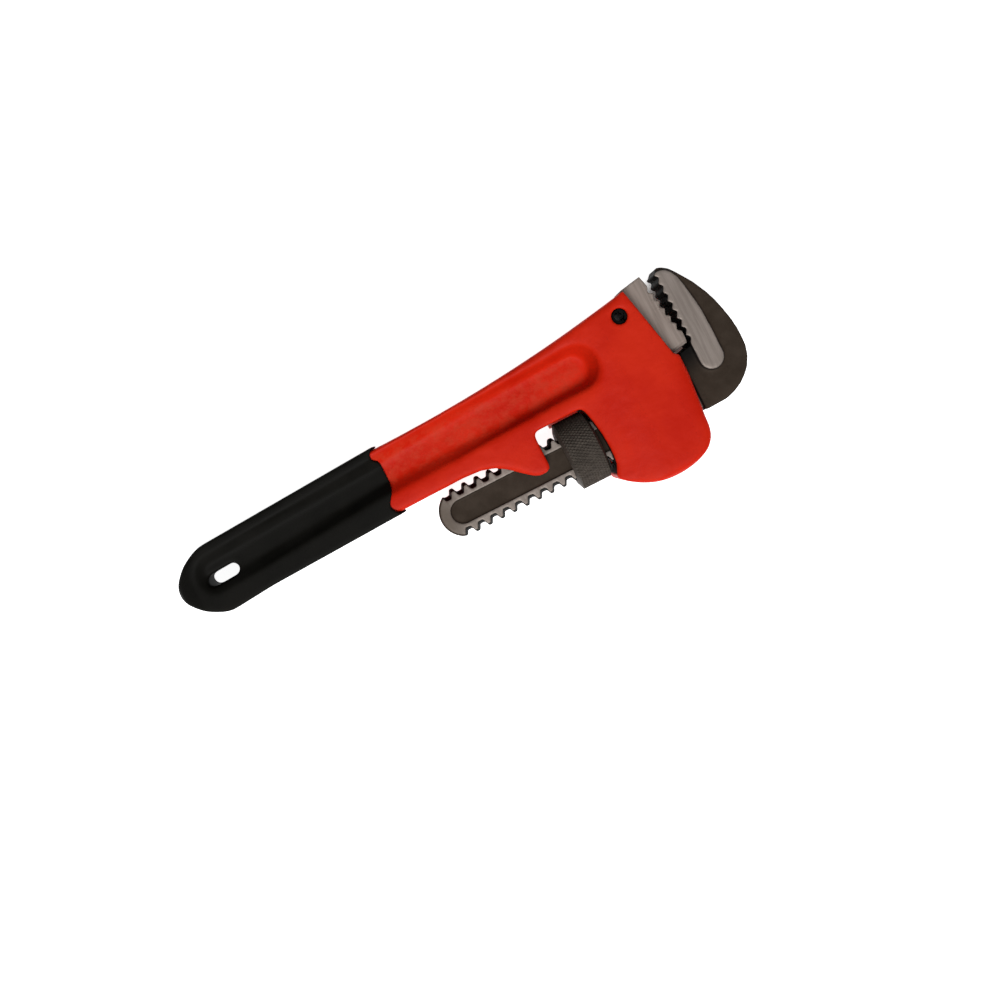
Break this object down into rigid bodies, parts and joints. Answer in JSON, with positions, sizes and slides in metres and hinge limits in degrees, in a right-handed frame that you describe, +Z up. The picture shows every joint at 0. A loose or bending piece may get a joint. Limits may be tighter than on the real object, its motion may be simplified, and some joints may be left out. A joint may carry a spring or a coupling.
{
  "type": "pipe wrench",
  "caption": "Straight pipe wrench with a sliding hook jaw, knurled adjusting nut, replaceable heel jaw and a vinyl-dipped handle.",
  "frame": {"origin": "centre of the outline of the closed wrench seen from its broad side, on the floor plane it lies on", "axes": "+X along the threaded shank towards the jaws, +Y across it towards the handle and the open side of the mouth, +Z up, square to the broad side"},
  "size_m": [0.225, 0.0698, 0.027],
  "materials": {
    "red_paint": "gloss enamel over sand-cast iron",
    "vinyl": "satin dipped vinyl",
    "heel_steel": "ground tool steel",
    "hook_steel": "forged and oil-blackened, faces ground bright",
    "nut_steel": "blackened, diagonally knurled",
    "spring_steel": "tempered spring steel"
  },
  "bodies": {
    "frame": {"handle": "red_paint", "grip": "vinyl", "heel_jaw": "heel_steel", "heel_jaw_pin": "spring_steel", "spring_rivet": "spring_steel", "coil_spring": "spring_steel"},
    "spring_lever": {"flat_spring": "spring_steel"},
    "hook_jaw": {"hook_jaw": "hook_steel"},
    "adjusting_nut": {"adjusting_nut": "nut_steel"}
  },
  "joints": [
    {"name": "jaw_rock", "type": "hinge", "parent": "frame", "child": "spring_lever", "pos_m": [0.04915, -0.00185, 0.0135], "axis": [0, 0, 1], "range_deg": [0, 1.5], "stiffness_Nm_per_rad": 0.6, "springref_deg": -17.19, "deforming": ["coil_spring"]},
    {"name": "hook_slide", "type": "slide", "parent": "spring_lever", "child": "hook_jaw", "axis": [1, 0, 0], "range_m": [0, 0.044]},
    {"name": "nut_spin", "type": "hinge", "parent": "spring_lever", "child": "adjusting_nut", "pos_m": [0.0422, -0.01185, 0.0135], "axis": [1, 0, 0], "range_deg": [-3120, 0]}
  ],
  "couplings": [
    {"joint": "nut_spin", "follows": "hook_slide", "rad_per_m": -1236.8}
  ]
}
